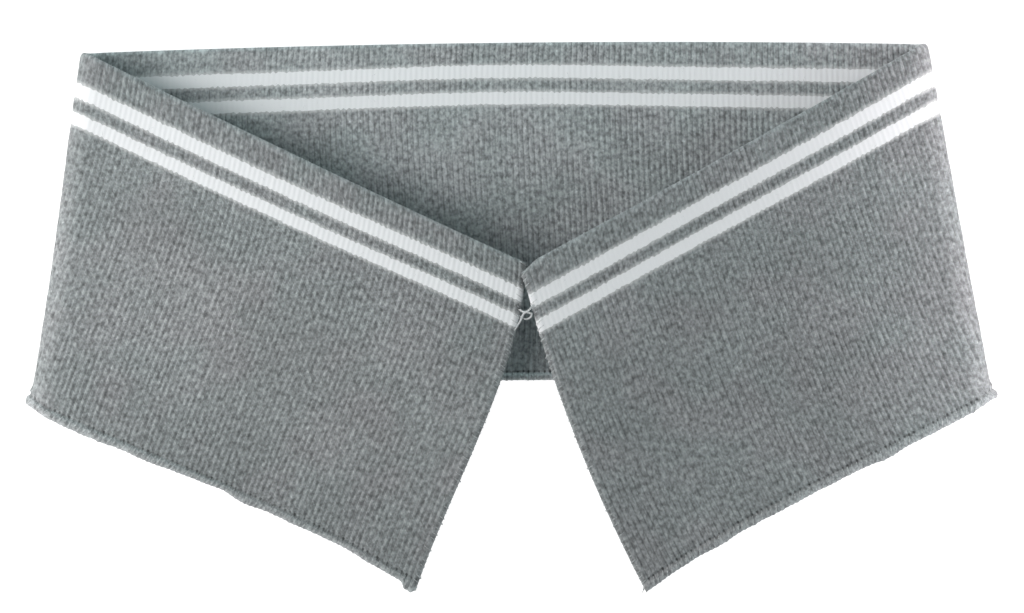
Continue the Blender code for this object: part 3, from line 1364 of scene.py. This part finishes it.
@dataclass
class SelvedgeLoops:
    """The loops that turn round the strip's two ends, one for every second course."""

    name: str
    finish: YarnFinish
    first: float
    last: float
    pitch: float = 2 * COURSE
    inset: float = 1.25
    beyond: float = -0.02
    beyond_spread: float = 0.07
    slant: float = 0.95 * MM
    course_spread: float = 0.08 * MM
    top_margin: float = 0.2 * MM
    bottom_margin: float = 0.3 * MM
    width: float = 0.9
    yarn_radius: float = 0.18 * MM
    end_radius: float = 0.45
    radius_spread: float = 0.10
    steps: int = 11
    sides: int = 6
    seed: int = 37

    def build(self) -> bpy.types.Object:
        """The loops of both ends as one mesh.

        Returns:
            The new object, in the scene.
        """
        random = np.random.default_rng(self.seed)
        count = max(1, round((self.last - self.first) / self.pitch))
        middle = self.first + (self.last - self.first) * (np.arange(count) + 0.5) / count
        angle = np.linspace(0, math.pi, self.steps)
        paths, ups = [], []
        for end, way in ((0, 1), (RIBS, -1)):
            uneven = random.normal(0, self.beyond_spread, (count, 1))
            from_end = self.inset - (self.inset + self.beyond + uneven) * np.sin(angle)
            rib = end + way * from_end
            slanted = self.slant * (0.5 - angle / math.pi)
            down = middle[:, None] + slanted + random.normal(0, self.course_spread, (count, 1))
            down = np.clip(down, self.top_margin, STRIP.height - self.bottom_margin)
            inside = np.clip(rib, 0, RIBS)
            place, normal = STRIP.surface(inside, down / STRIP.height)
            out = unit(STRIP.lay(inside - way * 0.1, down / STRIP.height) - place)
            pitch = STRIP.length / RIBS
            stand = self.width * RELIEF.height * np.cos(angle) * np.ones_like(rib)
            past = np.maximum(-from_end, 0) * pitch
            paths.append(place + normal * stand[..., None] + out * past[..., None])
            ups.append(np.cross(out, normal) + 0.2 * normal)
        paths, ups = np.concatenate(paths), np.concatenate(ups)
        swell = self.yarn_radius * (self.end_radius + (1 - self.end_radius) * np.sin(angle))
        radii = swell * (1 + random.normal(0, self.radius_spread, (len(paths), 1)))
        return tube_object(self.name, paths, ups, radii, self.sides, self.finish)


# The routes of the loose yarns, in millimetres: over both tacked corners from right to left, back under
# them, and off the lower right tip.
TACK_CROSSING = (
    (5.4, -22.0, 20.2),
    (4.9, -22.65, 20.5),
    (3.97, -23.47, 20.3),
    (3.3, -23.9, 19.6),
    (2.8, -24.75, 19.1),
    (2.34, -25.85, 18.7),
    (1.59, -27.09, 18.5),
    (1.0, -27.9, 18.2),
)
TACK_RETURN = (
    (2.2, -23.0, 18.0),
    (3.1, -23.5, 18.7),
    (4.2, -23.7, 19.8),
    (5.1, -24.0, 20.0),
    (4.8, -24.8, 19.2),
    (3.9, -25.2, 18.6),
    (3.0, -25.0, 18.2),
    (2.2, -24.4, 17.9),
)
LOOSE_END = ((32.2, -86.0, 1.2), (31.9, -87.0, 1.3), (31.5, -88.0, 1.0), (31.1, -89.4, 0.6))


@dataclass
class LooseYarn:
    """A length of two-ply yarn through a few points, in millimetres."""

    name: str
    finish: YarnFinish
    knots: tuple[tuple[float, float, float], ...]
    ply_radius: float = 0.15 * MM
    ply_offset: float = 0.85
    lay_pitch: float = 1.1 * MM
    tip: float = 0.5
    tapered_turns: float = 3.0
    steps: int = 48
    sides: int = 6

    def route(self) -> Array:
        """A smooth line through the knots.

        Returns:
            The points of the line, in metres.
        """
        knots = np.array(self.knots) * MM
        ends = np.concatenate([[2 * knots[0] - knots[1]], knots, [2 * knots[-1] - knots[-2]]])
        at = np.linspace(0, len(knots) - 1 - 1e-9, self.steps)
        i, t = at.astype(int), (at % 1)[:, None]
        a, b, c, d = ends[i], ends[i + 1], ends[i + 2], ends[i + 3]
        square = (2 * a - 5 * b + 4 * c - d) * t**2
        cube = (3 * b - a - 3 * c + d) * t**3
        return 0.5 * (2 * b + (c - a) * t + square + cube)

    def build(self) -> bpy.types.Object:
        """Both plies, twisted round each other.

        Returns:
            The new object, in the scene.
        """
        route = self.route()
        ahead = unit(np.gradient(route, axis=0))
        up = np.array([0.0, 0.3, 1.0])
        beside = unit(np.cross(ahead, up))
        above = np.cross(beside, ahead)
        run = np.cumsum(np.linalg.norm(np.diff(route, axis=0, prepend=route[:1]), axis=1))
        taper = self.tip + (1 - self.tip) * smooth((run[-1] - run) / (self.tapered_turns * self.lay_pitch))
        paths = []
        for ply in range(2):
            angle = run / self.lay_pitch * 2 * math.pi + ply * math.pi
            swing = beside * np.cos(angle)[:, None] + above * np.sin(angle)[:, None]
            paths.append(route + swing * (self.ply_radius * self.ply_offset * taper)[:, None])
        paths = np.stack(paths)
        ups = np.broadcast_to(above, paths.shape)
        radii = np.broadcast_to(self.ply_radius * taper, paths.shape[:2])
        return tube_object(self.name, paths, ups, radii, self.sides, self.finish)


@dataclass
class Fluff:
    """Short fibres that stand off the faces and the edges of the knit."""

    on_faces: int = 2600
    on_edges: int = 1400
    radius: float = 0.016 * MM
    length: float = 1.3 * MM
    shortest: float = 0.35
    rise: float = 0.35
    lean: float = 0.8
    curl: float = 0.35
    scatter: float = 0.6
    root_depth: float = 0.92
    rib_margin: float = 0.5
    down_margin: float = 0.01
    end_rib: float = 0.2
    edge_down: float = 0.997
    lowest: float = 0.05 * MM
    tip: float = 0.5
    steps: int = 4
    seed: int = 41

    def roots(self, random: np.random.Generator) -> tuple[Array, Array, Array]:
        """Where the fibres stand, and their directions.

        Args:
            random: the source of the random draws.

        Returns:
            The roots, the directions off the knit, and random directions to lean in.
        """
        rib = random.uniform(self.rib_margin, RIBS - self.rib_margin, self.on_faces)
        down = random.uniform(self.down_margin, 1 - self.down_margin, self.on_faces)
        sign = random.choice([-1, 1], self.on_faces)[:, None]
        place, normal = STRIP.surface(rib, down)
        faces = place + normal * sign * self.root_depth * RELIEF.height, normal * sign
        half = self.on_edges // 2
        end_ribs = [self.end_rib, RIBS - self.end_rib]
        rib = np.concatenate([random.uniform(0, RIBS, half), random.choice(end_ribs, half)])
        down = np.concatenate([np.full(half, self.edge_down), random.uniform(0, 1, half)])
        place, normal = STRIP.surface(rib, down)
        inwards = np.where(rib < RIBS / 2, rib + 0.3, rib - 0.3)
        aside = unit(STRIP.lay(rib, down) - STRIP.lay(inwards, down))
        out = np.where((np.arange(len(rib)) < half)[:, None], STRIP.downwards(rib, down), aside)
        roots = np.concatenate([faces[0], place])
        ways = np.concatenate([faces[1], unit(out + self.scatter * random.normal(size=out.shape))])
        return roots, ways, random.normal(size=roots.shape)

    def build(self) -> bpy.types.Object:
        """All fibres as one mesh.

        Returns:
            The new object, in the scene.
        """
        random = np.random.default_rng(self.seed)
        roots, ways, asides = self.roots(random)
        length = self.length * random.uniform(self.shortest, 1.0, (len(roots), 1, 1))
        share = np.linspace(0, 1, self.steps)[None, :, None]
        aside = unit(asides - (asides * ways).sum(-1, keepdims=True) * ways)[:, None]
        curls = unit(random.normal(size=roots.shape))[:, None]
        rise = self.rise * np.sin(share * math.pi * 0.8)
        bend = ways[:, None] * rise + aside * share * self.lean + curls * self.curl * share**2
        paths = roots[:, None] + length * bend
        paths[..., 2] = np.maximum(paths[..., 2], self.lowest)
        ups = np.broadcast_to(ways[:, None], paths.shape) + 0.01
        radii = np.full(paths.shape[:2], self.radius) * np.linspace(1, self.tip, self.steps)
        return tube_object("fluff", paths, ups, radii, 3, GREY_YARN)


@dataclass(frozen=True)
class Softbox:
    """A rectangular area light that looks at the collar."""

    name: str
    place: tuple[float, float, float]
    width: float
    furrow_shade_depth: float
    power: float
    colour: Colour
    target: tuple[float, float, float] = (0.0, -0.02, 0.0)

    def build(self) -> None:
        """Set the light up."""
        light = bpy.data.lights.new(self.name, "AREA")
        light.shape = "RECTANGLE"
        light.size = self.width
        light.size_y = self.furrow_shade_depth
        light.energy = self.power
        light.color = self.colour
        lamp = bpy.data.objects.new(self.name, light)
        bpy.context.scene.collection.objects.link(lamp)
        away = np.array(self.place) - np.array(self.target)
        lamp.location = self.place
        lamp.rotation_euler = (
            math.atan2(math.hypot(away[0], away[1]), away[2]),
            0.0,
            math.atan2(away[0], -away[1]),
        )
        lamp.visible_camera = False


@dataclass(frozen=True)
class Studio:
    """A pale floor, soft light from both sides and from behind, and a camera straight above."""

    sky: float = 0.09
    sky_colour: Colour = (0.82, 1.0, 1.0)
    floor_size: float = 8.0
    floor_colour: Colour = (0.35, 0.35, 0.35)
    floor_roughness: float = 0.9
    floor_grain: float = 25.0 * MM
    floor_shade: float = 0.985
    floor_glow: float = 0.95
    glow_colour: Colour = (1.0, 1.0, 1.0)
    view_width: float = 0.2391
    view_centre: tuple[float, float] = (0.0005, -0.0223)
    view_height: float = 0.008
    lens: float = 300.0
    sensor: float = 36.0
    sight: float = 20.0
    lights: tuple[Softbox, ...] = (
        Softbox(
            "left_softbox",
            place=(-0.24, -0.055, 0.197),
            width=0.24,
            furrow_shade_depth=0.42,
            power=1.14,
            colour=(1.0, 0.96, 0.95),
        ),
        Softbox(
            "right_softbox",
            place=(0.24, -0.14, 0.20),
            width=0.24,
            furrow_shade_depth=0.24,
            power=0.28,
            colour=(0.90, 1.0, 1.0),
        ),
        Softbox(
            "back_softbox",
            place=(-0.05, 0.24, 0.062),
            width=0.26,
            furrow_shade_depth=0.05,
            power=0.30,
            colour=(0.80, 1.0, 1.0),
            target=(0.0, 0.01, 0.0),
        ),
        Softbox(
            "right_strip",
            place=(0.132, 0.005, 0.032),
            width=0.26,
            furrow_shade_depth=0.02,
            power=0.085,
            colour=(1.0, 0.91, 0.92),
            target=(0.093, -0.0023, 0.008),
        ),
    )

    def build_floor(self) -> None:
        """The floor, which only the view needs."""
        half = self.floor_size / 2
        mesh = bpy.data.meshes.new("floor")
        corners = [(x * half, y * half, 0) for x, y in ((-1, -1), (1, -1), (1, 1), (-1, 1))]
        mesh.from_pydata(corners, [], [(0, 1, 2, 3)])
        floor = bpy.data.objects.new("floor", mesh)
        bpy.context.scene.collection.objects.link(floor)
        ink = Shading("pale_floor")
        grain = ink.spread(ink.noise(ink.place(), 1 / self.floor_grain, 2.0), 0.2, self.floor_shade, 1.0)
        base = ink.colour(1.0, with_alpha(self.floor_colour), ink.grey(grain), "MULTIPLY")
        ink.feed(ink.shader.inputs["Base Color"], base)
        ink.shader.inputs["Roughness"].default_value = self.floor_roughness
        ink.shader.inputs["Emission Color"].default_value = with_alpha(self.glow_colour)
        ink.shader.inputs["Emission Strength"].default_value = self.floor_glow
        mesh.materials.append(ink.material)

    def build_light(self) -> None:
        """The sky and the softboxes."""
        scene = bpy.context.scene
        world = bpy.data.worlds.new("studio")
        world.use_nodes = True
        sky = world.node_tree.nodes["Background"]
        sky.inputs["Color"].default_value = with_alpha(self.sky_colour)
        sky.inputs["Strength"].default_value = self.sky
        scene.world = world
        scene.view_settings.view_transform = "Standard"
        for light in self.lights:
            light.build()

    def build_camera(self) -> None:
        """The camera, which looks straight down with the back panel at the top of the picture."""
        camera = bpy.data.cameras.new("camera")
        camera.lens = self.lens
        camera.sensor_width = self.sensor
        camera.clip_end = self.sight
        seen = bpy.data.objects.new("camera", camera)
        bpy.context.scene.collection.objects.link(seen)
        distance = self.view_width * self.lens / self.sensor
        seen.location = (*self.view_centre, self.view_height + distance)
        bpy.context.scene.camera = seen


@dataclass
class Collar:
    """The whole collar: its bands from the top edge down, and the loops and loose yarn on them."""

    main_rows: float = 1.733 * MM
    stripe_ribbing: float = 0.35
    holes_above: float = 0.3
    holes_below: float = 1.3
    tail_radius: float = 0.2 * MM
    tail_tip: float = 0.25

    def seams(self) -> list[Seam]:
        """The seams between the bands, with the strip's two long edges at both ends."""
        last = len(SEAM_DOWNS) - 1
        return [Seam(down, 0 if place in (0, last) else 50 + place) for place, down in enumerate(SEAM_DOWNS)]

    def bands(self) -> list[Band]:
        """The bands, from the top edge down.

        Returns:
            The six bands, not yet built.
        """
        seams = self.seams()
        edge_course = float(SEAM_DOWNS[5] / COURSE)
        hole_row = (edge_course - self.holes_above, edge_course + self.holes_below)
        pierced = replace(GREY_KNIT, name="grey_cast_off_knit", hole_row=hole_row)
        return [
            TopBand("top_band_knit", GREY_KNIT, seams[0], seams[1]),
            Band("upper_stripe_knit", WHITE_KNIT, seams[1], seams[2], ribbing=self.stripe_ribbing),
            Band("middle_band_knit", GREY_KNIT, seams[2], seams[3]),
            Band("lower_stripe_knit", WHITE_KNIT, seams[3], seams[4], ribbing=self.stripe_ribbing),
            Band("main_panel_knit", GREY_KNIT, seams[4], seams[5], self.main_rows),
            CastOffEdge("cast_off_edge_knit", pierced, seams[5], seams[6]),
        ]

    def build(self) -> None:
        bands = self.bands()
        knit = {band.name: band.build() for band in bands}
        trims = [CastOffLoops(bands[-1]).build(), *self.selvedges(), *self.yarns(), Fluff().build()]
        for made in [*knit.values(), *trims]:
            LOG.info("%s: %d faces", made.name, len(made.data.polygons))
        main = knit.pop("main_panel_knit")

    def selvedges(self) -> list[bpy.types.Object]:
        """The loops along both ends, in the yarn of each band.

        Returns:
            One object for each band.
        """
        made = []
        for place, (name, above, below) in enumerate(zip(BAND_HEIGHTS, self.seams(), self.seams()[1:])):
            finish = WHITE_YARN if "stripe" in name else GREY_YARN
            loops = SelvedgeLoops(f"{name}_selvedge", finish, above.down, below.down, seed=60 + place)
            made.append(loops.build())
        return made

    def yarns(self) -> list[bpy.types.Object]:
        """The white yarn of the tack and the loose end at the lower right tip.

        Returns:
            One object for each length of yarn.
        """
        tail = LooseYarn(
            "loose_yarn_end",
            GREY_YARN,
            LOOSE_END,
            ply_radius=self.tail_radius,
            tip=self.tail_tip,
        )
        return [
            LooseYarn("tacking_yarn", WHITE_YARN, TACK_CROSSING).build(),
            LooseYarn("tacking_yarn_return", WHITE_YARN, TACK_RETURN).build(),
            tail.build(),
        ]


def main() -> None:
    """Build the collar and the studio."""
    logging.basicConfig(level=logging.INFO, format="%(name)s: %(message)s")
    Collar().build()
    studio = Studio()
    studio.build_floor()
    studio.build_light()
    studio.build_camera()
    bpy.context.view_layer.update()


if __name__ == "__main__":
    main()
